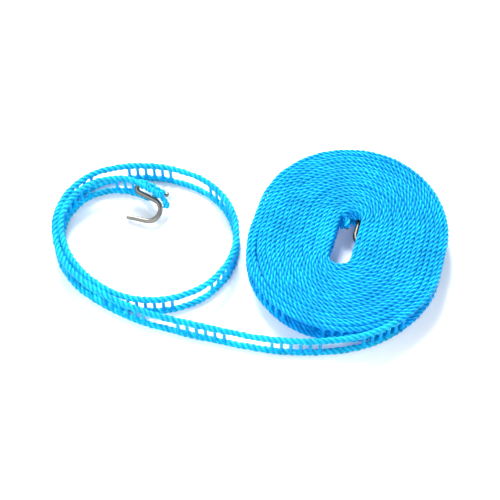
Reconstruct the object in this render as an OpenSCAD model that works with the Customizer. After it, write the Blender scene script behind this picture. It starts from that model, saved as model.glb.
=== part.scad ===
// A long ladder strap with a wire hook at each end. Two cords, one above the other, are joined
// by upright rungs. One end of the strap is wound into an oblong coil; the rest runs clockwise
// round the outside as twelve curved panels joined by knuckles.
// The strap stands on edge: Z runs across its width, from 0 to strap_w, and its path lies in XY.
// The origin is the middle of the whole outline.

/* [Strap] */
// Width of the strap, from the outside of one cord to the outside of the other
strap_w = 15; // [13:0.5:18]
// Height of one cord, measured across the strap
cord_h = 3; // [2.6:0.1:3.4]
// Thickness of a cord in the free part of the strap
cord_t = 2.8; // [2.4:0.1:2.8]
// Thickness of a cord squeezed between its neighbours in the coil
coil_cord_t = 2.25; // [1.9:0.05:2.3]
// Edge chamfer of a cord
cord_chamfer = 0.5; // [0.3:0.05:0.6]
// Length of one stitch along a cord
stitch = 4.9; // [4.7:0.05:5]
// Diameter of a rung
rung_d = 1.2; // [0.8:0.1:1.2]
// Number of rungs in one group
rungs_in_group = 6; // [3:1:6]
// Stitches from one group of rungs to the next
group_stitches = 10; // [10:1:10]
// Length of one stitch in the stretched lead, next to the coil
lead_stitch = 5.2; // [4.9:0.05:5.3]

/* [Coil] */
// Half turns in the coil
half_turns = 38; // [26:2:38]
// Radius of the first inside bend
first_bend_r = 5.6; // [5.4:0.1:6.5]
// Radial step from one turn to the next
turn_step = 2.65; // [2.65:0.05:3]
// Length of the straight side of the hole
hole_straight = 25; // [23:0.5:26]
// Loss of straight length from one half turn to the next
straight_loss = 0.28; // [0.24:0.02:0.3]
// Lean of the coil's long axis
coil_lean = 16; // [10:1:20]
// Angle at which the strap leaves the outermost turn
leave_angle = -48; // [-52:1:-44]
// Length of the curve that leads away from the coil
leave_len = 43.4; // [39:0.2:47]
// Turn of the curve that leads away from the coil
leave_turn = 34; // [30:1:36]

/* [Free strap bends] */
// Turn of strap panel 1, clockwise
bend_01 = 20; // [17:1:23]
// Turn of strap panel 2
bend_02 = 4; // [2:1:6]
// Turn of strap panel 3
bend_03 = 21; // [19:1:23]
// Turn of strap panel 4
bend_04 = 56; // [54:1:58]
// Turn of strap panel 5
bend_05 = 73; // [71:1:74]
// Turn of strap panel 6
bend_06 = 39; // [38:1:40]
// Turn of strap panel 7
bend_07 = 63; // [62:1:64]
// Turn of strap panel 8
bend_08 = 65; // [63:1:66]
// Turn of strap panel 9
bend_09 = 57; // [56:1:58]
// Turn of strap panel 10
bend_10 = 47; // [46:1:48]
// Turn of strap panel 11
bend_11 = 93; // [91:1:95]
// Turn of strap panel 12, the short end panel
bend_12 = 40; // [38:1:44]
// Length of the short end panel
end_panel_len = 20.3; // [19.5:0.1:22]

/* [Hooks] */
// Diameter of the hook wire
wire_d = 2.8; // [2.4:0.1:2.8]
// Centreline radius of the hook's mouth
mouth_r = 6.6; // [6:0.1:7]
// Length of the hook's shank
shank_len = 10.4; // [10:0.1:12]
// Length of the hook's open arm
arm_len = 11.6; // [11:0.1:13]
// Angle by which the open arm spreads away from the shank
arm_spread = 13; // [10:1:18]
// Half the distance between the shank and the wire's return leg
leg_half = 3; // [3:0.1:3.2]
// Length of the outer hook's return leg
return_len = 15; // [14:0.5:16]
// Downward tilt of the outer hook
hook_tilt = 22; // [18:0.5:22]

/* [Hidden] */
$fn = 48;
arc_fn = 96;   // facets of swept bends
rung_fn = 24;  // facets of rungs
cord_colour = "deepskyblue";
rung_colour = "dodgerblue";
hook_colour = "silver";

period = stitch * group_stitches;
window_z0 = cord_h;            // the rungs span the window between the two cords
window_z1 = strap_w - cord_h;

// ---- clockwise paths: a pose is [point, heading] ----
function arc_angle(radius, length) = length / radius * 180 / PI;
function arc_radius(length, angle) = length / (angle * PI / 180);
// pose after going a length along an arc; a negative length goes back
function along(pose, radius, length) =
    let (heading = pose[1], next = heading - arc_angle(radius, length))
    [pose[0] + radius * [sin(heading) - sin(next), cos(next) - cos(heading)], next];

module at(point, z = 0) translate([point[0], point[1], z]) children();

// ---- cords and rungs ----
// cord section, drawn as [distance from centreline, height]
module cord_section(thickness, z0, z1, chamfer) {
    half = thickness / 2;
    flat = half - chamfer;
    polygon([
        [-flat, z0], [flat, z0], [half, z0 + chamfer], [half, z1 - chamfer],
        [flat, z1], [-flat, z1], [-half, z1 - chamfer], [-half, z0 + chamfer]
    ]);
}

// clockwise arc of cord that starts at a pose
module cord_arc(pose, radius, length, thickness, z0, z1, chamfer) {
    heading = pose[1];
    angle = arc_angle(radius, length);
    at(pose[0] + radius * [sin(heading), -cos(heading)])
        rotate(heading + 90 - angle)
            rotate_extrude(angle = angle, $fn = arc_fn)
                translate([radius, 0])
                    cord_section(thickness, z0, z1, chamfer);
}

module rung(point)
    at(point, window_z0) cylinder(d = rung_d, h = window_z1 - window_z0, $fn = rung_fn);

// ---- knuckles: two half-height eyes on one axis, each on a tongue from its own cord ----
lap = 0.05;                   // gap from the cord's mid height to each half
shoulder = 1.55;              // distance from a knuckle's axis to the full cord
tongue_len = shoulder + 0.6;  // the tongue runs on into the cord
tongue_slimming = 0.5;        // the tongue is this much thinner than its cord
tongue_chamfer = 0.2;
knuckle_inset = 0.06;         // eye inside the cord's face, and tongue inside the eye's faces

module knuckle_half(eye, tongue_pose, radius, thickness, z0, z1) {
    cord_arc(tongue_pose, radius, tongue_len, thickness - tongue_slimming,
             z0 + knuckle_inset, z1 - knuckle_inset, tongue_chamfer);
    at(eye, z0) cylinder(r = cord_t / 2, h = z1 - z0);
}
// lower half, which ends a cord whose underside is at z0
module knuckle_end(pose, radius, thickness, z0)
    knuckle_half(pose[0], along(pose, radius, -tongue_len), radius, thickness,
                 z0 + knuckle_inset, z0 + cord_h / 2 - lap);
// upper half, which starts the next cord
module knuckle_start(pose, radius, thickness, z0)
    knuckle_half(pose[0], pose, radius, thickness,
                 z0 + cord_h / 2 + lap, z0 + cord_h - knuckle_inset);

// ---- coil path, in the coil's own frame with its long axis along Y ----
// Half turn j is a bend, at the +Y end for even j and the -Y end for odd j, then a straight.
coil_centre = [55.12, 3.26];
last_turn = half_turns - 1;
function side(j) = j % 2 == 0 ? 1 : -1;
function bend_radius(j) = first_bend_r + j * turn_step / 2;
function half_straight(j) = (hole_straight - straight_loss * j) / 2;
function bend_centre(j) = [j % 2 == 0 ? 0 : -turn_step / 2, side(j) * half_straight(j)];
function straight_len(j) = half_straight(j) + half_straight(j + 1);
// the last bend stops at the leaving point
function sweep(j) = j == last_turn ? -leave_angle - coil_lean : 180;
function bend_len(j) = bend_radius(j) * sweep(j) * PI / 180;
function start_of(j) = j == 0 ? 0 : start_of(j - 1) + bend_len(j - 1) + straight_len(j - 1);
starts = [for (j = [0:last_turn]) start_of(j)];
coil_len = starts[last_turn] + bend_len(last_turn);

// half turn that holds a distance from the inner end, and the point there
function turn_at(distance, j = 0) =
    j >= last_turn || distance < starts[j + 1] ? j : turn_at(distance, j + 1);
function coil_point(distance) =
    let (
        j = turn_at(distance),
        radius = bend_radius(j),
        past_start = distance - starts[j],
        past_bend = past_start - bend_len(j),
        angle = (j % 2 == 0 ? 180 : 0) - arc_angle(radius, past_start)
    )
    bend_centre(j) + (past_bend <= 0 ? radius * [cos(angle), sin(angle)]
                                     : side(j) * [radius, -past_bend]);

module coil_frame() at(coil_centre) rotate(-coil_lean) children();

// ---- lead-off curve from the coil to the first knuckle ----
lead_overlap = 1;       // starts this far inside the last bend
lead_slimming = 0.15;   // thinner than the coil's cord
lead_inset = 0.05;      // inside the cord's upper and lower faces
function turned(point, angle) = [
    point[0] * cos(angle) - point[1] * sin(angle),
    point[0] * sin(angle) + point[1] * cos(angle)
];
leave_point = turned(bend_centre(last_turn), -coil_lean) + coil_centre
            + bend_radius(last_turn) * [cos(leave_angle), sin(leave_angle)];
leave_pose = [leave_point, leave_angle - 90];
leave_r = arc_radius(leave_len, leave_turn);
first_knuckle = along(leave_pose, leave_r, leave_len);

// ---- coil cords ----
module coil_bend(j, z0)
    rotate_extrude(angle = sweep(j), $fn = arc_fn)
        translate([bend_radius(j), 0])
            cord_section(coil_cord_t, z0, z0 + cord_h, cord_chamfer);

module coil_straight(j, z0)
    at([bend_centre(j)[0] + side(j) * bend_radius(j), -side(j) * half_straight(j + 1)])
        rotate([90, 0, j % 2 == 0 ? 180 : 0])
            linear_extrude(straight_len(j))
                cord_section(coil_cord_t, z0, z0 + cord_h, cord_chamfer);

module coil_cord(z0) {
    coil_frame()
        for (j = [0:last_turn]) {
            at(bend_centre(j))
                if (j % 2 == 0) coil_bend(j, z0);
                else mirror([0, 1, 0]) coil_bend(j, z0);
            if (j < last_turn) coil_straight(j, z0);
        }
    cord_arc(along(leave_pose, leave_r, -lead_overlap), leave_r,
             leave_len + lead_overlap - shoulder, coil_cord_t - lead_slimming,
             z0 + lead_inset, z0 + cord_h - lead_inset, cord_chamfer);
    knuckle_end(first_knuckle, leave_r, coil_cord_t, z0);
}

// ---- coil rungs ----
first_rung_at = 1.5;  // no rung nearer than this to the inner end
lead_end_gap = 2;     // no rung nearer than this to the first knuckle
// rectangle in the coil's frame, kept open for the inner hook: [low corner, high corner]
hook_zone = [[-5.5, -6], [22.5, 23.5]];
function in_hook_zone(point) =
    point[0] > hook_zone[0][0] && point[0] < hook_zone[1][0] &&
    point[1] > hook_zone[0][1] && point[1] < hook_zone[1][1];

// distances of the rungs from the inner end, in groups that keep step with the first knuckle
lead_end = coil_len + leave_len;
first_stitch = lead_end % period - period / 2 - stitch * (rungs_in_group - 1) / 2;
stitch_count = floor(lead_end / stitch) + group_stitches;
rung_distances = [
    for (i = [0:stitch_count - 1])
        if (i % group_stitches < rungs_in_group) first_stitch + i * stitch
];

// rungs from one distance up to another
module coil_rungs(from, to)
    coil_frame()
        for (distance = rung_distances)
            if (distance >= from && distance < to) {
                point = coil_point(distance);
                if (!in_hook_zone(point)) rung(point);
            }

module lead_rungs()
    for (distance = rung_distances)
        if (distance >= coil_len && distance < lead_end - lead_end_gap)
            rung(along(leave_pose, leave_r, distance - coil_len)[0]);

// the rung that the inner hook's wire goes round
module tie_rung() coil_frame() rung(bend_centre(0) + [0, first_bend_r]);

// ---- panels of the free strap, numbered from 0 ----
bends = [bend_01, bend_02, bend_03, bend_04, bend_05, bend_06,
         bend_07, bend_08, bend_09, bend_10, bend_11, bend_12];
end_panel = len(bends) - 1;
end_panel_rungs = 3;
lead_panels = 2;   // panels with the stretched stitch
wire_gap = 0.2;    // from the last rung to the outer hook's wire
// how far the rungs lie ahead of the panel's middle, for each full-length panel
rung_shift = [0.5, 3.6, 0, 0, 0, -1.7, 0, 0, 0, 0, 0];

function panel_len(k) = k == end_panel ? end_panel_len : period;
function panel_r(k) = arc_radius(panel_len(k), bends[k]);
// pose at the start of panel k; one past the end panel gives the strap's end
function panel_pose(k) =
    k == 0 ? first_knuckle : along(panel_pose(k - 1), panel_r(k - 1), panel_len(k - 1));

module panel_cord(k, z0) {
    start = panel_pose(k);
    radius = panel_r(k);
    cord_arc(along(start, radius, shoulder), radius, panel_len(k) - 2 * shoulder,
             cord_t, z0, z0 + cord_h, cord_chamfer);
    knuckle_start(start, radius, cord_t, z0);
    knuckle_end(panel_pose(k + 1), radius, cord_t, z0);
}

module panel_rungs(k) {
    count = k == end_panel ? end_panel_rungs : rungs_in_group;
    step = k < lead_panels ? lead_stitch : stitch;
    span = (count - 1) * step;
    // the last rung of the end panel stands just clear of the hook's wire
    first = k == end_panel
        ? end_panel_len - leg_half - wire_d / 2 - rung_d / 2 - wire_gap - span
        : period / 2 + rung_shift[k] - span / 2;
    for (i = [0:count - 1])
        rung(along(panel_pose(k), panel_r(k), first + i * step)[0]);
}

// ---- hooks ----
wire_r = wire_d / 2;
arm_r = wire_r - 0.02;   // the arm is slightly finer than the wire
arm_overlap = 0.3;       // the arm starts this far inside the mouth's bend
outer_hook_z = 9.2;
inner_return_len = 7;
inner_slot = [0, 17.6];  // middle of the inner hook's tight bend, in the coil's frame

module wire_leg(length) rotate([0, 90, 0]) cylinder(r = wire_r, h = length);
module wire_bend(radius, angle)
    rotate_extrude(angle = angle, $fn = arc_fn) translate([radius, 0]) circle(r = wire_r);

// centreline in the XY plane: tight bend round the origin, both legs along +X, shank on the -Y side
module hook_wire(return_leg) {
    translate([0, leg_half, 0]) wire_leg(return_leg);
    translate([return_leg, leg_half, 0]) sphere(r = wire_r);
    translate([0, -leg_half, 0]) wire_leg(shank_len);
    rotate(90) wire_bend(leg_half, 180);
    // mouth and open arm
    translate([shank_len, -leg_half - mouth_r, 0]) {
        mirror([1, -1, 0]) wire_bend(mouth_r, 180 - arm_spread);
        rotate(-90 + arm_spread)
            translate([mouth_r, arm_overlap, 0])
                rotate([90, 0, 0]) cylinder(r = arm_r, h = arm_len + arm_overlap);
    }
}

// frame at the strap's outer end, with +X running on along the strap
strap_end = panel_pose(end_panel + 1);
module end_frame() at(strap_end[0]) rotate(strap_end[1]) children();

module outer_hook()
    color(hook_colour) end_frame()
        translate([0, 0, outer_hook_z]) rotate([hook_tilt, 0, 0]) hook_wire(return_len);

// level, half way up the strap, in the coil's hole
module inner_hook()
    color(hook_colour) coil_frame()
        at(inner_slot, strap_w / 2) rotate(-90) mirror([0, 1, 0]) hook_wire(inner_return_len);

// ---- outer end binding ----
bundle_z0 = 12.05;       // underside of the gathered bundle
bundle_len = 15;
bundle_t = 4.4;
bundle_chamfer = 0.7;
end_tongue_w = 2.3;
upper_tongue_len = 3;
lower_tongue_len = 5;
upper_eye_z0 = strap_w - cord_h / 2 + lap;
lower_eye_z0 = cord_h / 2 + lap;
// side outline of the lower cord's climb to the bundle: [distance past the strap's end, height]
climb_outline = [
    [4, lower_eye_z0], [6.5, lower_eye_z0], [14, bundle_z0 - 1.2],
    [14, bundle_z0 + 0.5], [10.5, bundle_z0 + 0.5]
];
tail_x = 15.6;
tail_z0 = 2;             // centre of the tail's rounded lower end
tail_r = 1.15;
tail_overlap = 0.4;      // reach of the tail into the bundle

// eye on the strap's end axis with a straight tongue
module end_eye(z0, z1, tongue) {
    translate([0, 0, z0]) cylinder(r = cord_t / 2, h = z1 - z0);
    translate([0, -end_tongue_w / 2, z0]) cube([tongue, end_tongue_w, z1 - z0]);
}

// the two cords, gathered into a bundle on the hook's return leg
module outer_end_binding() color(cord_colour) end_frame() {
    end_eye(upper_eye_z0, strap_w, upper_tongue_len);
    translate([tongue_len, 0, 0])
        rotate([90, 0, 90])
            linear_extrude(bundle_len)
                cord_section(bundle_t, bundle_z0, strap_w, bundle_chamfer);
    // the lower cord climbs between the wire's legs
    end_eye(lower_eye_z0, cord_h, lower_tongue_len);
    translate([0, end_tongue_w / 2, 0])
        rotate([90, 0, 0]) linear_extrude(end_tongue_w) polygon(climb_outline);
}

// cut cord end that hangs from the bundle
module outer_cord_tail() color(cord_colour) end_frame() translate([tail_x, 0, tail_z0]) {
    cylinder(r = tail_r, h = bundle_z0 + tail_overlap - tail_z0);
    sphere(r = tail_r);
}

// ---- inner end binding: two cord stubs joined by an upright plate ----
stub_x = -first_bend_r - 0.1;
stub_len = 6;
stub_t = 2.6;
stub_chamfer = 0.5;
upper_stub_drop = 2;     // the upper stub reaches this far below its cord
stub_heights = [[window_z1 - upper_stub_drop, strap_w], [0, cord_h]];  // [bottom, top]
plate_size = [0.9, 5, strap_w - 3];
plate_corner = [-first_bend_r - 1.4, bend_centre(0)[1] - 5.5, 1];

module inner_end_binding() color(cord_colour) coil_frame() {
    for (heights = stub_heights)
        translate([stub_x, bend_centre(0)[1], 0])
            rotate([90, 0, 0])
                linear_extrude(stub_len)
                    cord_section(stub_t, heights[0], heights[1], stub_chamfer);
    translate(plate_corner) cube(plate_size);
}

// ---- nodes of the coil and the panels ----
// the coil's rungs are split in three at these distances
middle_from = coil_len * 0.4;
outer_from = coil_len * 0.72;

module coil_upper_cord() color(cord_colour) coil_cord(window_z1);
module coil_lower_cord() color(cord_colour) coil_cord(0);
module coil_rungs_inner() color(rung_colour) {
    tie_rung();
    coil_rungs(first_rung_at, middle_from);
}
module coil_rungs_middle() color(rung_colour) coil_rungs(middle_from, outer_from);
module coil_rungs_outer() color(rung_colour) {
    coil_rungs(outer_from, coil_len);
    lead_rungs();
}
module panel_upper(k) color(cord_colour) panel_cord(k, window_z1);
module panel_lower(k) color(cord_colour) panel_cord(k, 0);
module panel_rung_group(k) color(rung_colour) panel_rungs(k);

coil_upper_cord();
coil_lower_cord();
coil_rungs_inner();
coil_rungs_middle();
coil_rungs_outer();
panel_upper(0);  // panel_01_upper_cord
panel_lower(0);  // panel_01_lower_cord
panel_rung_group(0);  // panel_01_rungs
panel_upper(1);  // panel_02_upper_cord
panel_lower(1);  // panel_02_lower_cord
panel_rung_group(1);  // panel_02_rungs
panel_upper(2);  // panel_03_upper_cord
panel_lower(2);  // panel_03_lower_cord
panel_rung_group(2);  // panel_03_rungs
panel_upper(3);  // panel_04_upper_cord
panel_lower(3);  // panel_04_lower_cord
panel_rung_group(3);  // panel_04_rungs
panel_upper(4);  // panel_05_upper_cord
panel_lower(4);  // panel_05_lower_cord
panel_rung_group(4);  // panel_05_rungs
panel_upper(5);  // panel_06_upper_cord
panel_lower(5);  // panel_06_lower_cord
panel_rung_group(5);  // panel_06_rungs
panel_upper(6);  // panel_07_upper_cord
panel_lower(6);  // panel_07_lower_cord
panel_rung_group(6);  // panel_07_rungs
panel_upper(7);  // panel_08_upper_cord
panel_lower(7);  // panel_08_lower_cord
panel_rung_group(7);  // panel_08_rungs
panel_upper(8);  // panel_09_upper_cord
panel_lower(8);  // panel_09_lower_cord
panel_rung_group(8);  // panel_09_rungs
panel_upper(9);  // panel_10_upper_cord
panel_lower(9);  // panel_10_lower_cord
panel_rung_group(9);  // panel_10_rungs
panel_upper(10);  // panel_11_upper_cord
panel_lower(10);  // panel_11_lower_cord
panel_rung_group(10);  // panel_11_rungs
panel_upper(11);  // panel_12_upper_cord
panel_lower(11);  // panel_12_lower_cord
panel_rung_group(11);  // panel_12_rungs
outer_end_binding();
outer_cord_tail();
outer_hook();
inner_end_binding();
inner_hook();
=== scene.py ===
"""A ladder strap of laid blue nylon cord with a bent steel hook at each end.

The strap stands on edge on z = 0: an upper and a lower cord joined by upright rung threads.
It is wound clockwise, from the inside out, into an oblong coil on the right (+x). From there
the free end leads off to the left in twelve hinged panels that go on turning clockwise.
Shapes are worked out in millimetres and built in metres. Angles are in degrees.
"""
import math
from collections import namedtuple

import bmesh
import bpy
import numpy as np
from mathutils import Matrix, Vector


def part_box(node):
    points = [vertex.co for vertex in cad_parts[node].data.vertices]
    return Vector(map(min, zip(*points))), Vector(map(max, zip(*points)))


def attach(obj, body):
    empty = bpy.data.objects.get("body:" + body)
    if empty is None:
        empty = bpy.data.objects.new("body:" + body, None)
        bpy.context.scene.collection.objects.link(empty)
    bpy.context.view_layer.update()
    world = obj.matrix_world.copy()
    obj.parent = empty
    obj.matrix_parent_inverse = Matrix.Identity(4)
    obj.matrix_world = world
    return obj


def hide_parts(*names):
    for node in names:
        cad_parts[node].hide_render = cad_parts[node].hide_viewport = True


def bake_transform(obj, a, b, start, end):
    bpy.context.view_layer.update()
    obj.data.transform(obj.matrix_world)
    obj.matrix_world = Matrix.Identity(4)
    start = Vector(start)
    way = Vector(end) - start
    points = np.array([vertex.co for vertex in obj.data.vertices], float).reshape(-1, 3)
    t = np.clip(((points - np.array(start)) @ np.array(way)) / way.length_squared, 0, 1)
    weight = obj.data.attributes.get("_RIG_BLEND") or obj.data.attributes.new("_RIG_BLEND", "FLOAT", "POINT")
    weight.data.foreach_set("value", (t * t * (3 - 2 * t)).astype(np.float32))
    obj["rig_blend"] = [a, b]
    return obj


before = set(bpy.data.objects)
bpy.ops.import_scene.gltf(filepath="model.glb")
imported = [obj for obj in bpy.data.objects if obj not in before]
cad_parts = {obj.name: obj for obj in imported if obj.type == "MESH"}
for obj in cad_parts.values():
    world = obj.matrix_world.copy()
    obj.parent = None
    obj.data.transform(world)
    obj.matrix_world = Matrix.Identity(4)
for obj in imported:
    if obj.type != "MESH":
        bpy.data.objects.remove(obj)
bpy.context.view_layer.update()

MM = 0.001
TAU = 2 * np.pi
UP = np.array([0.0, 0.0, 1.0])

# ---------------------------------------------------------------- driving dimensions, mm
STRAP_WIDTH = 15.0
STITCH = 4.9                    # pitch of the rungs
PANEL = 10 * STITCH             # one repeat of rungs and gap
LAY = 2 * STITCH                # cord length in which the strands turn once
CORD_INSET = 1.5                # cord middle to strap edge

# the coil: half-circle bends joined by straights, leaning clockwise
COIL_CENTRE = np.array([55.12, 3.26])
LEAN = 16.0
HALF_TURNS = 38
FIRST_RADIUS = 5.6
TURN_STEP = 2.65                # pitch from one full turn to the next
STRAIGHT = 25.0
STRAIGHT_LOSS = 0.28            # each bend's straight is this much shorter
LAST_BEND = HALF_TURNS - 1
LEAVE_ANGLE = -48.0             # where on the last bend the strap leaves

# the free strap: arcs that turn clockwise, first the lead and then the twelve panels
LAST_PANEL = 20.3
ARC_LENGTHS = [43.4] + [PANEL] * 11 + [LAST_PANEL]
ARC_TURNS = [34.0, 20, 4, 21, 56, 73, 39, 63, 65, 57, 47, 93, 40]

# cord half sizes and profiles
FREE_HALF_WIDTH, FREE_HALF_HEIGHT = 1.92, 1.74
COIL_HALF_HEIGHT = 1.72
FREE_PITCH = 2.6                # stands in for the turn pitch outside the coil
STRANDS = 3
FIRM_LOBE = (0.47, 0.53)        # strand offset and strand radius, relative to the cord
SOFT_LOBE = (0.42, 0.58)
COIL_STEP = 0.62   # step along the coil cords, in mm
COILED_DETAIL = dict(step=COIL_STEP, per_strand=9, lobe=FIRM_LOBE)
FREE_DETAIL = dict(step=0.45, per_strand=12, lobe=SOFT_LOBE)

Cord = namedtuple("Cord", "name z blend_z phase seed lift_seed sway_seed")
LOWEST_CORD_Z = 1.6
CORDS = (
    Cord("upper", STRAP_WIDTH - CORD_INSET, STRAP_WIDTH - CORD_INSET, 0.7, 31, 12, 22),
    Cord("lower", LOWEST_CORD_Z, CORD_INSET, 2.1, 47, 11, 21),
)


# ---------------------------------------------------------------- the strap's path
def cosd(angle):
    return np.cos(np.radians(angle))


def sind(angle):
    return np.sin(np.radians(angle))


def direction(heading):
    return np.stack([cosd(heading), sind(heading), 0 * heading], -1)


def turned(x, y, angle):
    return np.array([x * cosd(angle) - y * sind(angle), x * sind(angle) + y * cosd(angle)])


def placed(points, origin, angle):
    """Points turned about z by an angle and moved to an origin in the ground plane."""
    x, y, z = np.atleast_2d(np.array(points, float)).T
    x, y = turned(x, y, angle)
    return np.stack([origin[0] + x, origin[1] + y, z], 1)


def bend_radius(j):
    return FIRST_RADIUS + j * TURN_STEP / 2


def half_straight(j):
    return (STRAIGHT - STRAIGHT_LOSS * j) / 2


def bend_centre(j):
    """Even bends are at the coil's far end (+y), odd ones at its near end."""
    return (0.0, half_straight(j)) if j % 2 == 0 else (-TURN_STEP / 2, -half_straight(j))


def coil_to_world(x, y):
    return COIL_CENTRE + turned(x, y, -LEAN)


def world_to_coil(x, y):
    return turned(x - COIL_CENTRE[0], y - COIL_CENTRE[1], LEAN)


def arc_point(start, heading, radius, turn):
    """The point reached after turning clockwise."""
    return start + radius * np.array([sind(heading) - sind(heading - turn),
                                      cosd(heading - turn) - cosd(heading)])


bend_starts = [0.0]
for j in range(LAST_BEND):
    bend_starts.append(bend_starts[-1] + bend_radius(j) * math.pi
                       + half_straight(j) + half_straight(j + 1))
COIL_LENGTH = bend_starts[-1] + bend_radius(LAST_BEND) * math.radians(-LEAVE_ANGLE - LEAN)

arc_starts = [COIL_LENGTH]
arc_points = [coil_to_world(*bend_centre(LAST_BEND))
              + bend_radius(LAST_BEND) * direction(LEAVE_ANGLE)[:2]]
arc_headings = [LEAVE_ANGLE - 90]
arc_radii = [length / math.radians(turn) for length, turn in zip(ARC_LENGTHS, ARC_TURNS)]
for length, turn, radius in zip(ARC_LENGTHS, ARC_TURNS, arc_radii):
    arc_starts.append(arc_starts[-1] + length)
    arc_points.append(arc_point(arc_points[-1], arc_headings[-1], radius, turn))
    arc_headings.append(arc_headings[-1] - turn)
HINGES = arc_starts[1:]         # start of each panel, and the strap's end
STRAP_END = HINGES[12]
END_POINT, END_HEADING = arc_points[-1], arc_headings[-1]


def strap_at(s):
    """x, y, heading and pitch to the next turn, at a distance s from the inner end."""
    if s < COIL_LENGTH:
        j = np.searchsorted(bend_starts, s, side="right") - 1
        along, radius, far = s - bend_starts[j], bend_radius(j), j % 2 == 0
        x, y = bend_centre(j)
        if along <= radius * math.pi or j == LAST_BEND:
            angle = (180 if far else 0) - math.degrees(along / radius)
            x += radius * cosd(angle)
            y += radius * sind(angle)
            heading = angle - 90
            pitch = TURN_STEP - STRAIGHT_LOSS * abs(sind(angle))
        else:
            way = 1 if far else -1
            x += way * radius
            y -= way * (along - radius * math.pi)
            heading = -90 * way
            pitch = TURN_STEP
        x, y = coil_to_world(x, y)
        return x, y, heading - LEAN, pitch
    k = min(len(ARC_TURNS) - 1, np.searchsorted(arc_starts, s, side="right") - 1)
    turn = (s - arc_starts[k]) / ARC_LENGTHS[k] * ARC_TURNS[k]
    x, y = arc_point(arc_points[k], arc_headings[k], arc_radii[k], turn)
    return x, y, arc_headings[k] - turn, FREE_PITCH


def strap_point(s, z):
    """A point of the strap in metres."""
    x, y = strap_at(s)[:2]
    return (x * MM, y * MM, z * MM)


# the CAD and this script have to agree on where the strap is
box_low, box_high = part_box("panel_05_upper_cord")
panel_line = np.array([strap_point(s, 0) for s in np.linspace(HINGES[4], HINGES[5], 60)])
CAD_CORD_RADIUS = 0.0014        # metres
assert (abs(panel_line[:, 0].min() - CAD_CORD_RADIUS - box_low[0]) < 0.0006
        and abs(panel_line[:, 1].max() + CAD_CORD_RADIUS - box_high[1]) < 0.0016), \
    "the strap's path has moved"


# ---------------------------------------------------------------- smooth repeatable noise
def hashed(n, seed):
    value = np.sin(np.asarray(n, float) * 127.1 + seed * 311.7) * 43758.5453
    return value - np.floor(value)


def wander(x, seed):
    """Smooth noise between -1 and 1 along x."""
    x = np.asarray(x, float)
    cell = np.floor(x)
    part = x - cell
    part = part * part * (3 - 2 * part)
    return (hashed(cell, seed) * (1 - part) + hashed(cell + 1, seed) * part) * 2 - 1


# ---------------------------------------------------------------- mesh helpers
def new_object(name, verts, faces, uvs, attributes, flat):
    """faces is (n, 4); one that repeats its third corner is a triangle. uvs are per corner."""
    mesh = bpy.data.meshes.new(name)
    tri = faces[:, 3] == faces[:, 2]
    order = np.concatenate([np.nonzero(~tri)[0], np.nonzero(tri)[0]])
    quads, tris = int((~tri).sum()), int(tri.sum())
    loops = np.concatenate([faces[~tri].ravel(), faces[tri][:, :3].ravel()]).astype(np.int32)
    starts = np.concatenate([np.arange(quads) * 4, quads * 4 + np.arange(tris) * 3])
    totals = np.concatenate([np.full(quads, 4), np.full(tris, 3)])
    corners = np.concatenate([uvs[~tri].reshape(-1, 2), uvs[tri][:, :3].reshape(-1, 2)])
    mesh.vertices.add(len(verts))
    mesh.vertices.foreach_set("co", np.asarray(verts, np.float32).ravel())
    mesh.loops.add(len(loops))
    mesh.loops.foreach_set("vertex_index", loops)
    mesh.polygons.add(quads + tris)
    mesh.polygons.foreach_set("loop_start", starts.astype(np.int32))
    mesh.polygons.foreach_set("loop_total", totals.astype(np.int32))
    mesh.update(calc_edges=True)
    layer = mesh.uv_layers.new(name="strand")
    layer.data.foreach_set("uv", corners.astype(np.float32).ravel())
    for key, values in attributes.items():
        attribute = mesh.attributes.new(key, "FLOAT", "POINT")
        attribute.data.foreach_set("value", np.asarray(values, np.float32))
    mesh.polygons.foreach_set("use_smooth", ~flat[order])
    mesh.update()
    obj = bpy.data.objects.new(name, mesh)
    bpy.context.scene.collection.objects.link(obj)
    return obj


class TubeMesh:
    """Collects several capped tubes into one mesh."""

    def __init__(self):
        self.verts, self.faces, self.uvs, self.flat = [], [], [], []
        self.attributes = {}
        self.count = 0

    def add(self, rings, uv, attributes, smooth_caps=False):
        """Add a tube. A flat-shaded cap leaves the side's shading alone."""
        rows, around, _ = rings.shape
        i, k = np.meshgrid(np.arange(rows - 1), np.arange(around), indexing="ij")
        after = (k + 1) % around
        side = np.stack([i * around + k, i * around + after,
                         (i + 1) * around + after, (i + 1) * around + k], -1).reshape(-1, 4)
        side_uv = uv.reshape(-1, 2)[side]
        seam = k.ravel() == around - 1
        u_step = uv[0, 1, 0] - uv[0, 0, 0]
        for corner in (1, 2):
            side_uv[seam, corner, 0] += u_step * around
        faces, uvs = [side], [side_uv]
        fan_uv = np.array([[0, 0], [u_step * 0.5, 0], [u_step * 0.2, 0.05], [0, 0]])
        for cap, row in enumerate((0, rows - 1)):
            this = row * around + np.arange(around)
            following = row * around + (np.arange(around) + 1) % around
            middle = np.full(around, rows * around + cap)
            edge = [following, this] if cap == 0 else [this, following]
            faces.append(np.stack([*edge, middle, middle], -1))
            uvs.append(np.tile(uv[row].mean(0), (around, 4, 1)) + fan_uv)
        self.verts += [rings.reshape(-1, 3), rings[[0, -1]].mean(1)]
        self.faces.append(np.vstack(faces) + self.count)
        self.uvs += uvs
        self.flat += [np.zeros(len(side), bool), np.full(2 * around, not smooth_caps)]
        for key, values in attributes.items():
            with_caps = np.concatenate([values.ravel(), values[[0, -1]].mean(1)])
            self.attributes.setdefault(key, []).append(with_caps)
        self.count += rows * around + 2

    def build(self, name):
        attributes = {key: np.concatenate(parts) for key, parts in self.attributes.items()}
        return new_object(name, np.vstack(self.verts) * MM, np.vstack(self.faces),
                          np.concatenate(self.uvs), attributes, np.concatenate(self.flat))


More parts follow.
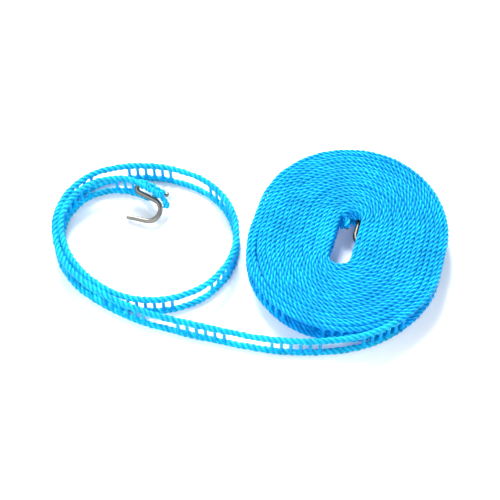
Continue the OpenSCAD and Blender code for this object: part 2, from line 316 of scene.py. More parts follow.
def loft(centres, first, second, across_first, across_second):
    """Rings of points about the centres, measured along two directions."""
    return (centres[:, None] + first[..., None, :] * across_first[..., None]
            + second[..., None, :] * across_second[..., None])


def ring_uv(u, v):
    return np.stack(np.meshgrid(u, v), -1)


def smooth_curve(controls, samples):
    """Evenly spaced Catmull-Rom points through the controls, and their distances along."""
    c = np.array(controls, float)
    c = np.vstack([2 * c[0] - c[1], c, 2 * c[-1] - c[-2]])
    u = np.linspace(0, 1, 40, endpoint=False)[:, None]
    spans = []
    for before, start, end, beyond in zip(c, c[1:], c[2:], c[3:]):
        spans.append(0.5 * (2 * start + (end - before) * u
                            + (2 * before - 5 * start + 4 * end - beyond) * u ** 2
                            + (3 * start - before - 3 * end + beyond) * u ** 3))
    dense = np.vstack(spans + [c[-2][None]])
    reached = distances(dense)
    along = np.linspace(0, reached[-1], samples)
    return np.stack([np.interp(along, reached, dense[:, i]) for i in range(3)], 1), along


def distances(points):
    return np.r_[0, np.cumsum(np.linalg.norm(np.diff(points, axis=0), axis=1))]


def carried_frames(points, first_side=(0, 1, 0)):
    """Side and up directions carried along a curve without twisting."""
    tangent = np.gradient(points, axis=0)
    tangent /= np.linalg.norm(tangent, axis=1)[:, None]
    sides = np.zeros_like(points)
    side = np.array(first_side, float)
    if abs(side @ tangent[0]) > 0.9:
        side = UP
    for i in range(len(points)):
        side = side - (side @ tangent[i]) * tangent[i]
        side /= np.linalg.norm(side)
        sides[i] = side
    return sides, np.cross(tangent, sides)


# ---------------------------------------------------------------- cords, rungs, ropes and wire
def laid_cord(centres, side, up, s, half_side, half_up, phase, seed,
              per_strand=9, lobe=FIRM_LOBE, lay=LAY):
    """A laid cord. The grid turns with the strands, so creases fall on edge lines."""
    around = STRANDS * per_strand
    strand = np.arange(around) // per_strand
    wobble = 0.10 * wander(s / 21.0, seed) + 0.16 * wander(s / 5.3, seed + 3)
    twist = TAU * s / lay + phase + wobble
    angle = np.arange(around)[None] / around * TAU + twist[:, None]
    # angle from the middle of the nearest strand
    off = (np.arange(around) % per_strand) / per_strand * (TAU / STRANDS) - np.pi / STRANDS
    offset, radius = lobe
    outline = offset * np.cos(off) + np.sqrt(
        np.maximum(radius * radius - (offset * np.sin(off)) ** 2, 0))
    # each strand swells and thins a little along its own length
    swell = np.stack([1 + 0.115 * wander(s / 1.9 + 17 * q, seed + q)
                      + 0.035 * wander(s / 9.0 + 5 * q, seed + 7 + q)
                      for q in range(STRANDS)], 1)[:, strand]
    tone = np.stack([0.5 + 0.5 * wander(s / 4.9 + 31 * q, seed + 90 + q)
                     for q in range(STRANDS)], 1)[:, strand]
    reach = outline[None] * swell
    rings = loft(centres, side, up, np.cos(angle) * reach * half_side[:, None],
                 np.sin(angle) * reach * half_up[:, None])
    # crease runs from 0 on a strand's crown to 1 between strands, and is the mask for the painted highlight
    # and crease shade
    return rings, ring_uv(np.arange(around) / per_strand, s / 10.0), {
        "crease": np.tile(np.abs(off) / (np.pi / STRANDS), (len(s), 1)),
        "along": np.tile(s[:, None] / 100.0, (1, around)),
        "tone": tone,
    }


def coil_drift(s):
    """Height by which the strap drifts up and down in the coil, turn by turn."""
    in_coil = np.clip((COIL_LENGTH - 40 - s) / 120.0, 0, 1)
    return in_coil * (0.42 * wander(s / 57.0, 3) + 0.28 * wander(s / 19.0, 4))


def loosened(x, y, s):
    """The last turns stand a little off the rest at the lower left and the lower right."""
    angle = np.degrees(np.arctan2(y - COIL_CENTRE[1], x - COIL_CENTRE[0])) % 360
    left = np.exp(-((angle - 205) / 24.0) ** 2)
    right = np.exp(-((angle - 318) / 20.0) ** 2)
    outer = 1 / (1 + np.exp(-(s - (COIL_LENGTH - 830)) / 6.0))
    fade = np.clip((COIL_LENGTH + 10 - s) / 60.0, 0, 1)
    return outer * (0.85 * left + 0.70 * right) * fade


def crowded(x, y, s):
    """The inner turns are pushed together on the hole's left, which widens the hole there."""
    leftness = np.clip(-world_to_coil(x, y)[0] / 5.0, 0, 1)
    return 0.9 * np.clip(1 - s / 420.0, 0, 1) * leftness * leftness * (3 - 2 * leftness)


def cord_piece(name, cord, start, end, step, per_strand, lobe):
    """A length of the upper or lower cord between two distances along the strap."""
    s = np.linspace(start, end, math.ceil((end - start) / step) + 1)
    x, y, heading, pitch = np.array([strap_at(each) for each in s]).T
    side = direction(heading + 90)
    coil = np.clip((COIL_LENGTH + 18 - s) / 26.0, 0, 1)
    coil = coil * coil * (3 - 2 * coil)
    squeeze = np.clip(1 - s / 80.0, 0, 1) ** 0.5  # innermost turn, pressed on the next
    half_width = pitch * (0.575 - 0.11 * squeeze) * coil + FREE_HALF_WIDTH * (1 - coil)
    half_height = COIL_HALF_HEIGHT * coil + FREE_HALF_HEIGHT * (1 - coil)
    z = cord.z + coil_drift(s) + 0.14 * wander(s / 7.0, cord.lift_seed)
    z = np.maximum(z, LOWEST_CORD_Z)
    sway = ((0.10 * coil + 0.10) * wander(s / 8.0, cord.sway_seed)
            + loosened(x, y, s) + crowded(x, y, s) + 0.30 * squeeze)
    centres = np.stack([x + side[:, 0] * sway, y + side[:, 1] * sway, z], 1)
    tubes = TubeMesh()
    tubes.add(*laid_cord(centres, side, UP, s, half_width, half_height, cord.phase, cord.seed,
                         per_strand, lobe))
    return tubes.build(name)


RUNG_RADIUS = 0.92
RUNG_END = 2.1                  # rung tip to strap edge


def rung(s, rows, around):
    """An upright two-ply thread that flares into the cords."""
    x, y, heading, _ = strap_at(s)
    ahead, side = direction(heading), direction(heading + 90)
    seed = (s * 0.37) % 7.0
    x, y = np.array([x, y]) + side[:2] * crowded(x, y, s)
    bottom = RUNG_END + coil_drift(s)
    top = STRAP_WIDTH - RUNG_END + coil_drift(s)
    z = np.linspace(bottom, top, rows)
    inside = np.clip(np.minimum(z - bottom, top - z) - 1.0, 0, None)
    flare = np.exp(-inside / 0.75)
    angle = np.arange(around) / around * TAU
    ply = np.abs(np.cos(angle[None] - (z * 1.25 + seed)[:, None]))
    outline = 0.86 + 0.14 * ply
    bow = 0.10 * math.sin(seed * 3.7) * np.sin((z - bottom) / (top - bottom) * np.pi)
    centres = np.array([x, y, 0.0]) + np.outer(z, UP) + np.outer(bow, ahead)
    rings = loft(centres, ahead, side,
                 np.cos(angle) * outline * (RUNG_RADIUS + 1.25 * flare)[:, None],
                 np.sin(angle) * outline * (RUNG_RADIUS + 0.42 * flare)[:, None])
    # crease sets painted shade: darker in the ply's valleys and where the rung flares into the cords
    return rings, ring_uv(angle / np.pi, z / 10), {
        "crease": (1 - ply) * 0.7 + 0.15 * flare[:, None],
        "along": np.full((rows, around), seed * 0.13),
        "tone": np.full((rows, around), (seed * 0.61) % 1.0),
    }


def rungs_piece(name, places, rows=19, around=14):
    tubes = TubeMesh()
    for s in places:
        tubes.add(*rung(s, rows, around))
    return tubes.build(name)


def add_rope(tubes, points, along, radius, lay, phase, seed, per_strand=9, both_tips=False):
    """A laid rope along a curve, with a melted tip at its end or at both ends."""
    radii = np.broadcast_to(np.asarray(radius, float), along.shape)
    tip_length = 0.9 * radii[0]
    to_end = along[-1] - along
    for away in (along, to_end) if both_tips else (to_end,):
        # a melted tip swells a little and then rounds off
        near = np.clip(away / tip_length, 0, 1)
        radii = radii * (1 + 0.10 * np.exp(-((away - 1.8) / 0.9) ** 2))
        radii = radii * np.sqrt(np.clip(1 - (1 - near) ** 2, 0.02, 1))
    side, up = carried_frames(points)
    rope = laid_cord(points, side, up, along, radii, radii, phase, seed, per_strand, lay=lay)
    tubes.add(*rope, smooth_caps=True)


WIRE_RADIUS = 1.4
WIRE_END = 0.25                 # length of the chamfered end
# fraction of the wire's radius, fraction of the end's length
WIRE_END_PROFILE = np.array([(0.985, 0.35), (0.93, 0.72), (0.85, 0.93), (0.70, 1.0), (0.35, 1.02)])


def wire_tube(name, points, around=28):
    """A swept steel wire with slightly chamfered cut ends."""
    side, up = carried_frames(points, UP)
    along = distances(points)
    width, reach = WIRE_END_PROFILE.T
    count, extra = len(points), len(WIRE_END_PROFILE)
    row = np.r_[np.zeros(extra, int), np.arange(count), np.full(extra, count - 1)]
    shift = np.r_[-reach[::-1], np.zeros(count), reach] * WIRE_END
    radii = np.r_[width[::-1], np.ones(count), width] * WIRE_RADIUS
    angle = np.arange(around) / around * TAU
    centres = points[row] + np.cross(side, up)[row] * shift[:, None]
    rings = loft(centres, side[row], up[row],
                 np.outer(radii, np.cos(angle)), np.outer(radii, np.sin(angle)))
    s = along[row] + 0.1 * np.sign(shift)
    ends = np.exp(-np.minimum(s, along[-1] - s).clip(0) / 1.2)
    tubes = TubeMesh()
    tubes.add(rings, ring_uv(angle / TAU, s / 10), {
        "crease": np.tile(ends[:, None], (1, around)),
        "along": np.tile(s[:, None] / 100, (1, around)),
        "tone": np.zeros((len(s), around)),
    }, smooth_caps=True)
    return tubes.build(name)


SLOT_RADIUS = 3.0               # bend between return leg and shank
SHANK = 10.4
MOUTH_RADIUS = 6.6
MOUTH_SPREAD = 13.0             # degrees short of a half turn
OPEN_ARM = 11.6
HOOK_STEP = 0.4


def hook_line(return_leg):
    """Centreline of a hook in its own plane, from the return leg's end to the open arm's."""
    def flat_line(x, y):
        return np.stack(np.broadcast_arrays(x, y, 0.0), 1)

    slot = np.arange(90, 270, math.degrees(HOOK_STEP / SLOT_RADIUS))
    last = -90 + MOUTH_SPREAD
    mouth = np.arange(90, last, -math.degrees(HOOK_STEP / MOUTH_RADIUS))
    arm = np.arange(0, OPEN_ARM + 1e-6, HOOK_STEP)
    mouth_y = -SLOT_RADIUS - MOUTH_RADIUS
    line = np.vstack([
        flat_line(np.arange(return_leg, 0, -HOOK_STEP), SLOT_RADIUS),
        flat_line(SLOT_RADIUS * cosd(slot), SLOT_RADIUS * sind(slot)),
        flat_line(np.arange(0, SHANK, HOOK_STEP), -SLOT_RADIUS),
        flat_line(SHANK + MOUTH_RADIUS * cosd(mouth), mouth_y + MOUTH_RADIUS * sind(mouth)),
        flat_line(SHANK + MOUTH_RADIUS * cosd(last) + sind(last) * arm,
                  mouth_y + MOUTH_RADIUS * sind(last) - cosd(last) * arm),
    ])
    for _ in range(4):  # a bent wire has no sudden change of curve
        line[1:-1] = line[:-2] * 0.25 + line[1:-1] * 0.5 + line[2:] * 0.25
    return line


def end_world(points):
    """From the frame of the strap's outer end to the world."""
    return placed(points, END_POINT, END_HEADING)


def coil_world(points):
    return placed(points, COIL_CENTRE, -LEAN)


# ---------------------------------------------------------------- materials
class Shader:
    """A new material, with short ways to add nodes to it."""

    def __init__(self, name):
        self.material = bpy.data.materials.new(name)
        self.material.use_nodes = True
        self.tree = self.material.node_tree
        self.surface = self.tree.nodes["Principled BSDF"]

    def feed(self, node, inputs):
        """Link each input that is given a socket, and set the others."""
        for key, value in inputs.items():
            if isinstance(value, bpy.types.NodeSocket):
                self.tree.links.new(value, node.inputs[key])
            else:
                node.inputs[key].default_value = value

    def add(self, kind, inputs=None, **settings):
        node = self.tree.nodes.new(kind)
        for key, value in settings.items():
            setattr(node, key, value)
        self.feed(node, inputs or {})
        return node

    def mix(self, factor, color_a, color_b, mode="MIX"):
        a, b = [(*c, 1) if isinstance(c, tuple) else c for c in (color_a, color_b)]
        node = self.add("ShaderNodeMix", data_type="RGBA", blend_type=mode)
        self.feed(node, {0: factor, 6: a, 7: b})
        return node.outputs[2]

    def math(self, operation, a, b):
        return self.add("ShaderNodeMath", {0: a, 1: b}, operation=operation).outputs[0]

    def remap(self, value, span, to=(0.0, 1.0)):
        inputs = dict(enumerate((value, *span, *to)))
        return self.add("ShaderNodeMapRange", inputs).outputs[0]

    def attribute(self, name):
        return self.add("ShaderNodeAttribute", attribute_name=name).outputs["Fac"]

    def strand_uv(self, scale):
        uv = self.add("ShaderNodeUVMap", uv_map="strand").outputs[0]
        return self.add("ShaderNodeMapping", {0: uv, "Scale": scale}).outputs[0]

    def noise(self, vector, scale, detail, roughness):
        inputs = {"Scale": scale, "Detail": detail, "Roughness": roughness, "Vector": vector}
        return self.add("ShaderNodeTexNoise", inputs).outputs["Fac"]

    def bump(self, height, strength, distance):
        inputs = {"Strength": strength, "Distance": distance, "Height": height}
        return self.add("ShaderNodeBump", inputs).outputs[0]


def nylon(name, crest, middle, deep, glow, subsurface=0.25, roughness=0.36, filaments=26.0):
    """Nylon: filament streaks along each strand, a painted highlight on the crowns, painted shade in the
    creases, a painted glow that is strongest in the creases, a soft silky sheen.
    """
    shader = Shader(name)
    filament = shader.noise(shader.strand_uv(scale=(filaments, 2.4, 1.0)),
                            scale=1.0, detail=2.5, roughness=0.6)
    place = shader.add("ShaderNodeTexCoord").outputs["Object"]
    cloud = shader.noise(place, scale=55.0, detail=3.0, roughness=0.55)
    fuzz = shader.noise(place, scale=1500.0, detail=2.0, roughness=0.5)
    crease = shader.attribute("crease")
    tone = shader.attribute("tone")
    # painted highlight: the crest colour on streaky crowns; painted shade: the deep colour in the creases
    depth = shader.math("POWER", crease, 2.0)
    crown = shader.remap(shader.math("SUBTRACT", 1.0, crease), span=(0.25, 1.0))
    streak = shader.remap(filament, span=(0.32, 0.68))
    streaky = shader.math("ADD", shader.math("MULTIPLY", streak, 0.55), 0.2)
    color = shader.mix(shader.math("MULTIPLY", crown, streaky), middle, crest)
    color = shader.mix(shader.math("MULTIPLY", depth, 0.85), color, deep)
    # light and dark variation: broad, per strand and fine
    shade = shader.remap(cloud, span=(0.3, 0.7), to=(0.86, 1.10))
    shade = shader.math("MULTIPLY", shade, shader.remap(tone, span=(0.0, 1.0), to=(0.84, 1.12)))
    shade = shader.math("MULTIPLY", shade, shader.remap(fuzz, span=(0.3, 0.7), to=(0.94, 1.05)))
    grey = shader.add("ShaderNodeCombineColor", dict.fromkeys(range(3), shade)).outputs[0]
    # painted glow: an emission, a little stronger in the creases, in place of light that the see-through
    # filaments pass on
    painted_glow = shader.mix(depth, glow, tuple(1.6 * channel for channel in glow))
    relief = shader.math("ADD", filament, shader.math("MULTIPLY", fuzz, 0.25))
    shader.feed(shader.surface, {
        "Base Color": shader.mix(1.0, color, grey, "MULTIPLY"),
        "Roughness": shader.remap(streak, span=(0.0, 1.0),
                                  to=(roughness - 0.06, roughness + 0.14)),
        "Emission Color": shader.mix(1.0, painted_glow, grey, "MULTIPLY"),
        "Emission Strength": 1.0,
        "Specular IOR Level": 0.16,
        "Specular Tint": (0.35, 0.9, 1.0, 1),
        "Sheen Weight": 0.05,
        "Sheen Roughness": 0.4,
        "Sheen Tint": (0.1, 0.75, 1.0, 1),
        "Subsurface Weight": subsurface,
        "Subsurface Radius": (0.15, 0.6, 1.0),
        "Subsurface Scale": 0.0012,
        "Normal": shader.bump(relief, strength=0.55, distance=0.00016),
    })
    return shader.material


def steel(name, clean, oxide, line, dull):
    """Drawn steel: fine lines along the wire, a little warm oxide, brighter cut ends, and a painted dark
    reflection towards the edges.
    """
    shader = Shader(name)
    lines = shader.noise(shader.strand_uv(scale=(60.0, 1.2, 1.0)),
                         scale=1.0, detail=3.0, roughness=0.65)
    place = shader.add("ShaderNodeTexCoord").outputs["Object"]
    patch = shader.noise(place, scale=260.0, detail=4.0, roughness=0.6)
    grit = shader.noise(place, scale=2600.0, detail=2.0, roughness=0.5)
    ends = shader.attribute("crease")
    color = shader.mix(shader.remap(patch, span=(0.42, 0.66), to=(0.0, 0.55)), clean, oxide)
    color = shader.mix(shader.remap(lines, span=(0.35, 0.75), to=(0.0, 0.35)), color, line)
    color = shader.mix(shader.math("MULTIPLY", ends, 0.4), color,
                       tuple(1.25 * channel for channel in clean))
    # painted reflection: duller and darker towards the edges, where the wire mirrors the ground
    facing = shader.add("ShaderNodeLayerWeight", {"Blend": 0.5}).outputs["Facing"]
    color = shader.mix(shader.remap(facing, span=(0.30, 0.85), to=(0.0, 0.62)), color,
                       (0.10, 0.095, 0.09))
    line_roughness = shader.remap(lines, span=(0.3, 0.7), to=(0.16 + dull, 0.30 + dull))
    patch_roughness = shader.math("MULTIPLY", patch, 0.10)
    relief = shader.math("ADD", lines, shader.math("MULTIPLY", grit, 0.2))
    shader.feed(shader.surface, {
        "Base Color": color,
        "Metallic": 1.0,
        "Specular Tint": (0.42, 0.41, 0.39, 1),
        "Roughness": shader.math("ADD", line_roughness, patch_roughness),
        "Normal": shader.bump(relief, strength=0.30, distance=0.00008),
    })
    return shader.material


# crest is the painted highlight colour, deep the painted crease shade, glow the painted glow; the coiled
# nylon has a stronger painted highlight, crease shade and glow than the free cord
CORD = nylon("cord_nylon", crest=(0.036, 0.60, 0.78), middle=(0.006, 0.44, 0.68),
             deep=(0.0, 0.20, 0.52), glow=(0.0, 0.028, 0.065))
COILED = nylon("coiled_nylon", crest=(0.045, 0.74, 0.96), middle=(0.0, 0.34, 0.73),
               deep=(0.0, 0.10, 0.43), glow=(0.0, 0.036, 0.118))
RUNG = nylon("rung_nylon", crest=(0.0, 0.46, 0.76), middle=(0.0, 0.33, 0.68),
             deep=(0.0, 0.16, 0.52), glow=(0.0, 0.03, 0.14),
             subsurface=0.15, roughness=0.42, filaments=14.0)
WIRE = steel("drawn_steel", clean=(0.27, 0.258, 0.235), oxide=(0.21, 0.168, 0.122),
             line=(0.10, 0.093, 0.085), dull=0.12)
# painted shade: a darker copy of the drawn steel, for the hook that lies in the shade of the coil's hole
SHADED_WIRE = steel("shaded_steel", clean=(0.13, 0.115, 0.095), oxide=(0.17, 0.115, 0.06),
                  line=(0.05, 0.045, 0.04), dull=0.14)


def dress(obj, material, body=None, replaces=()):
    """Give an object its material, and tell the frame what it follows and stands in for."""
    obj.data.materials.append(material)
    if body:
        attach(obj, body)
    if replaces:
        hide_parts(*replaces)


# ---------------------------------------------------------------- the coil
COIL_CUTS = [0.6, 1450.0, 2850.0, COIL_LENGTH + 12.0]


def coil_cords():
    for cord in CORDS:
        for i in range(3):
            obj = cord_piece(f"coil_{cord.name}_cord_{'abc'[i]}", cord,
                             COIL_CUTS[i], COIL_CUTS[i + 1], **COILED_DETAIL)
            dress(obj, COILED, "coil",
                  (f"coil_{cord.name}_cord",) if i == 0 else ())


def coil_rung_places():
    """Six rungs and a gap of four, in step with the panels, from the inner end to the lead."""
    first = HINGES[0] % PANEL - PANEL / 2 - STITCH * 2.5
    places = []
    for i in range(math.floor(HINGES[0] / STITCH) + 10):
        s = first + i * STITCH
        if i % 10 >= 6 or not 1.5 < s < HINGES[0] - 2:
            continue
        if s < COIL_LENGTH:
            x, y = world_to_coil(*strap_at(s)[:2])
            if -5.5 < x < 22.5 and -6 < y < 23.5:  # no rungs in this part of the coil
                continue
        places.append(s)
    return places


def coil_rungs():
    places = coil_rung_places()
    coarse = dict(rows=9, around=8)
    # name, first and last fraction of the coil's length, detail
    for name, start, end, detail in (("inner", 0, 0.4, {}), ("middle", 0.4, 0.72, coarse),
                                     ("outer", 0.72, math.inf, {})):
        chosen = [s for s in places if start * COIL_LENGTH <= s < end * COIL_LENGTH]
        obj = rungs_piece(f"coil_rung_threads_{name}", chosen, **detail)
        dress(obj, RUNG, "coil", (f"coil_rungs_{name}",))


coil_cords()
coil_rungs()

# ---------------------------------------------------------------- the free strap
LAST_CORD_START = 11.0          # past the last hinge, where the end cords take over


def hinged_cord(name, cord, start, end, bodies, hinge, reach, replaces=()):
    """A cord piece that bends about a hinge, within a reach to either side of it."""
    obj = cord_piece(name, cord, start, end, **FREE_DETAIL)
    dress(obj, CORD, replaces=replaces)
    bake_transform(obj, *bodies, start=strap_point(hinge - reach, cord.blend_z),
             end=strap_point(hinge + reach, cord.blend_z))


def free_cords():
    for cord in CORDS:
        hinged_cord(f"lead_{cord.name}_cord", cord, COIL_CUTS[3], HINGES[0] + PANEL / 2,
                    ("coil", "panel_01"), HINGES[0], 12)
        for k in range(1, 12):
            hinge = HINGES[k]
            past, reach = (PANEL / 2, 12) if k < 11 else (LAST_CORD_START, 5)
            hinged_cord(f"strap_{cord.name}_cord_{k:02d}", cord, hinge - PANEL / 2, hinge + past,
                        (f"panel_{k:02d}", f"panel_{k + 1:02d}"), hinge, reach,
                        (f"panel_{k:02d}_{cord.name}_cord",))


RUNG_SHIFTS = {0: 0.5, 1: 3.6, 5: -1.7}   # panels whose rungs sit off the middle


def panel_rungs():
    for k in range(12):
        step = 5.2 if k < 2 else STITCH
        if k < 11:
            count, first = 6, PANEL / 2 + RUNG_SHIFTS.get(k, 0.0) - 2.5 * step
        else:
            count, first = 3, LAST_PANEL - 5.75 - 2 * step
        obj = rungs_piece(f"panel_{k + 1:02d}_rung_threads",
                          [HINGES[k] + first + step * i for i in range(count)])
        dress(obj, RUNG, f"panel_{k + 1:02d}", (f"panel_{k + 1:02d}_rungs",))


free_cords()
panel_rungs()

# ---------------------------------------------------------------- the outer end
# each cord's way into the knot (x, y, z in the end frame) and its last relative thickness
CORD_TAILS = {
    "upper": ([(1.6, 0.0, 13.5), (3.4, -0.1, 13.5), (5.2, -0.1, 13.4)], 0.88),
    "lower": ([(1.6, 0.0, 1.7), (4.2, 0.0, 2.4), (7.2, 0.0, 4.9), (10.2, 0.0, 8.2),
               (12.6, 0.0, 11.0), (14.0, 0.0, 12.6)], 0.62),
}


def end_cord(cord):
    """A cord from the middle of the last panel to the knot."""
    s = np.linspace(HINGES[11] + LAST_CORD_START, STRAP_END, 24)
    x, y, heading, _ = np.array([strap_at(each) for each in s]).T
    side = direction(heading + 90)
    z = np.maximum(cord.z + 0.14 * wander(s / 7.0, cord.lift_seed), LOWEST_CORD_Z)
    sway = 0.10 * wander(s / 8.0, cord.sway_seed)
    strap_part = np.stack([x + side[:, 0] * sway, y + side[:, 1] * sway, z], 1)
    tail, thinning = CORD_TAILS[cord.name]
    controls = np.vstack([strap_part[-1][None], end_world(tail)])
    tail_part, _ = smooth_curve(controls, max(10, int(distances(controls)[-1] / 0.5)))
    points = np.vstack([strap_part, tail_part[1:]])
    count = len(points)
    half_up = np.full(count, FREE_HALF_HEIGHT)
    half_up[len(s):] *= np.linspace(1, thinning, count - len(s))
    widening = 1 + (FREE_HALF_WIDTH / FREE_HALF_HEIGHT - 1) * np.linspace(1, 0, count)
    tubes = TubeMesh()
    tubes.add(*laid_cord(points, *carried_frames(points, side[0]), distances(points) + s[0],
                         half_up * widening, half_up, cord.phase, cord.seed,
                         per_strand=12, lobe=SOFT_LOBE))
    obj = tubes.build(f"strap_{cord.name}_cord_12")
    dress(obj, CORD, replaces=(f"panel_12_{cord.name}_cord",))
    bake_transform(obj, "panel_12", "outer_end", start=strap_point(STRAP_END - 6.5, cord.blend_z),
             end=tuple(end_world((3.0, 0, cord.blend_z))[0] * MM))


# x, y, z in the end frame
KNOT_AXIS = [(-2.4, 0.1, 13.35), (1.0, 0.1, 13.9), (5.0, 0.0, 14.0), (9.5, -0.1, 13.9),
             (13.0, -0.3, 13.7), (16.0, -0.4, 13.1)]
CUT_END = [(12.6, -0.3, 12.6), (14.6, -0.7, 11.2), (16.1, -0.95, 8.6), (16.9, -1.2, 6.0),
           (17.3, -1.5, 3.6)]
PLAIT_PITCH = 12.6


def outer_knot():
    """Three cords plaited flat into a thick knot along the wire's return leg."""
    axis, along = smooth_curve(end_world(KNOT_AXIS), 90)
    side = direction(END_HEADING + 90)
    swell = (1.0 - 0.55 * np.clip(1 - along / 4.5, 0, 1) ** 1.5
             - 0.35 * np.clip(1 - (along[-1] - along) / 2.6, 0, 1) ** 2)
    tubes = TubeMesh()
    for q in range(3):
        phase = TAU * along / PLAIT_PITCH + q * TAU / 3 + 0.9
        centres = (axis + side * (1.75 * swell * np.sin(phase))[:, None]
                   + UP * (0.72 * swell * np.sin(2 * phase))[:, None])
        add_rope(tubes, *smooth_curve(centres[::3], 120), radius=1.30, lay=6.4,
                 phase=q * 1.3, seed=60 + q, both_tips=True)
    dress(tubes.build("outer_knot_plait"), CORD, "outer_end",
          ("outer_end_binding",))


def outer_cut_end():
    """The cut cord end that hangs from the knot and thickens towards its tip."""
    points, along = smooth_curve(end_world(CUT_END), 44)
    tubes = TubeMesh()
    add_rope(tubes, points, along, radius=1.65 + 0.55 * np.clip((along - 4.5) / 4.0, 0, 1),
             lay=9.5, phase=0.8, seed=81, per_strand=10)
    dress(tubes.build("outer_cord_cut_end"), CORD, "outer_end",
          ("outer_cord_tail",))


def outer_hook():
    """The outer hook, tilted 22 degrees about the end frame's x axis."""
    x, y, z = hook_line(return_leg=15.9).T
    y, z = turned(y, z, 22.0)
    obj = wire_tube("outer_hook_wire", end_world(np.stack([x, y, z + 9.2], 1)))
    dress(obj, WIRE, "outer_end", ("outer_hook",))


for cord in CORDS:
    end_cord(cord)
outer_knot()
outer_cut_end()
outer_hook()


# ---------------------------------------------------------------- the inner end
def inner_hook():
    """The inner hook lies level in the coil's hole, mirrored, its slot at (0, 17.6)."""
    x, y, z = hook_line(return_leg=7.4).T
    obj = wire_tube("inner_hook_wire", coil_world(np.stack([-y, 17.6 - x, z + 7.5], 1)))
    # its steel is darkened as painted shade
    dress(obj, SHADED_WIRE, "inner_end", ("inner_hook",))


# points (x, y, z in the coil's frame), radius, phase, seed
INNER_ENDS = (
    # over the hook's slot, against the far wall
    ([(-5.75, 13.2, 13.5), (-5.6, 14.2, 13.0), (-5.2, 15.4, 11.6), (-3.9, 17.0, 10.8),
      (-1.6, 18.3, 10.6), (1.0, 18.3, 10.5), (3.2, 17.3, 10.4), (4.3, 15.6, 10.2)],
     1.50, 0.3, 91),
    # nearer the middle of the hole, at the same height
    ([(-4.9, 13.2, 9.9), (-4.0, 14.6, 9.8), (-2.2, 16.0, 9.9), (0.2, 16.5, 9.9),
      (2.0, 15.9, 9.8)],
     1.25, 0.9, 95),
    # a short stub that turns down towards the near side
    ([(-5.6, 13.4, 11.6), (-4.9, 13.2, 11.3), (-3.7, 12.6, 11.0), (-3.1, 11.4, 10.8),
      (-3.0, 10.0, 10.2), (-3.1, 9.0, 8.9)],
     1.75, 2.1, 97),
    # the lower cord's end, below the slot
    ([(-5.7, 13.2, 1.7), (-5.5, 14.6, 2.4), (-4.4, 16.4, 3.4), (-2.6, 17.2, 3.8),
      (0.4, 17.0, 3.4), (2.6, 16.2, 3.2)],
     1.25, 1.3, 93),
)


def inner_cord_ends():
    tubes = TubeMesh()
    for points, radius, phase, seed in INNER_ENDS:
        add_rope(tubes, *smooth_curve(coil_world(points), 44), radius=radius, lay=9.0,
                 phase=phase, seed=seed)
    dress(tubes.build("inner_cord_ends"), COILED, "coil",
          ("inner_end_binding",))


inner_hook()
inner_cord_ends()

# ---------------------------------------------------------------- stage, light and camera, metres
scene = bpy.context.scene


def aim(obj, target):
    to_target = Vector(target) - obj.location
    obj.rotation_euler = to_target.to_track_quat("-Z", "Y").to_euler()


def make_floor():
    mesh = bpy.data.meshes.new("floor")
    grid = bmesh.new()
    bmesh.ops.create_grid(grid, x_segments=2, y_segments=2, size=2.5)
    grid.to_mesh(mesh)
    grid.free()
    floor = bpy.data.objects.new("floor", mesh)
    floor.location.z = -0.0002
    scene.collection.objects.link(floor)
    shader = Shader("pale_floor")
    shader.feed(shader.surface, {"Base Color": (0.905, 0.94, 0.965, 1), "Roughness": 0.9,
                                 "Specular IOR Level": 0.1})
    mesh.materials.append(shader.material)


# upward part of the view direction, colour: dark ground, pale sky, dark overhead
SKY = (
    (0.0, (0.05, 0.05, 0.055, 1)),
    (0.30, (0.10, 0.105, 0.115, 1)),
    (0.48, (0.80, 0.83, 0.87, 1)),
    (0.80, (0.96, 0.985, 1.0, 1)),
    (0.915, (0.96, 0.985, 1.0, 1)),
    (0.93, (0.05, 0.05, 0.055, 1)),
)


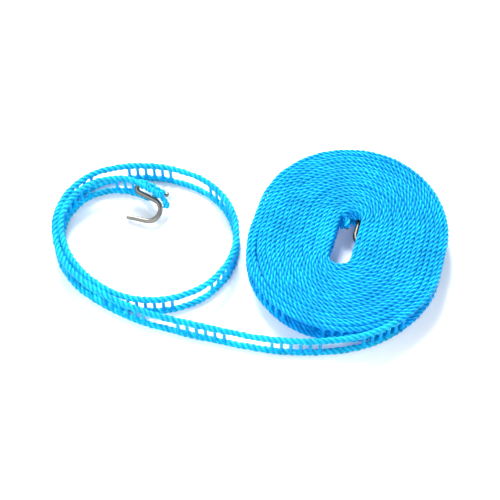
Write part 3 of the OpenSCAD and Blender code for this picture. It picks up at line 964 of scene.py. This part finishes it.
def make_world():
    world = bpy.data.worlds.new("studio")
    scene.world = world
    world.use_nodes = True
    nodes, links = world.node_tree.nodes, world.node_tree.links
    background = nodes["Background"]
    place = nodes.new("ShaderNodeTexCoord")
    split = nodes.new("ShaderNodeSeparateXYZ")
    ramp = nodes.new("ShaderNodeValToRGB")
    stops = ramp.color_ramp.elements
    stops[0].position, stops[0].color = SKY[0]
    stops[1].position, stops[1].color = SKY[-1]
    for position, color in SKY[1:-1]:
        stops.new(position).color = color
    links.new(place.outputs["Generated"], split.inputs[0])
    links.new(split.outputs[2], ramp.inputs[0])
    links.new(ramp.outputs[0], background.inputs["Color"])
    background.inputs["Strength"].default_value = 0.60


def area_light(name, location, power, size, size_y=None, color=(1, 1, 1), target=(0, 0, 0)):
    light = bpy.data.lights.new(name, "AREA")
    light.shape = "RECTANGLE" if size_y else "SQUARE"
    light.size = size
    if size_y:
        light.size_y = size_y
    light.energy = power
    light.color = color
    obj = bpy.data.objects.new(name, light)
    obj.location = location
    # aimed with the unrounded location
    to_target = Vector(target) - Vector(location)
    obj.rotation_euler = to_target.to_track_quat("-Z", "Y").to_euler()
    scene.collection.objects.link(obj)


def make_camera():
    data = bpy.data.cameras.new("camera")
    data.sensor_width = 36.0
    data.lens = 92.6
    data.clip_start = 0.01
    camera = bpy.data.objects.new("camera", data)
    target = Vector((0.0, 0.00356, 0.0))
    distance, elevation = 0.733, math.radians(57.0)
    camera.location = target + distance * Vector((0.0, -math.cos(elevation),
                                                  math.sin(elevation)))
    aim(camera, target)
    scene.collection.objects.link(camera)
    scene.camera = camera


make_floor()
make_world()
area_light("key_back", (-0.10, 0.72, 0.74), power=18.5, size=0.34, size_y=0.30,
           color=(1.0, 0.99, 0.97))
area_light("fill_left", (-0.9, -0.15, 0.7), power=5.0, size=0.7, color=(0.95, 0.98, 1.0))
area_light("fill_right", (0.95, 0.0, 0.7), power=4.0, size=0.6, color=(1.0, 0.99, 0.97))
area_light("front_card", (0.0, -0.8, 0.75), power=3.0, size=0.5)
area_light("front_low", (-0.13, -0.26, 0.14), power=0.40, size=0.20, size_y=0.06,
           color=(0.98, 1.0, 1.0), target=(-0.09, -0.05, 0.0))
make_camera()
scene.view_settings.view_transform = "Standard"
scene.view_settings.look = "None"

bpy.context.view_layer.update()
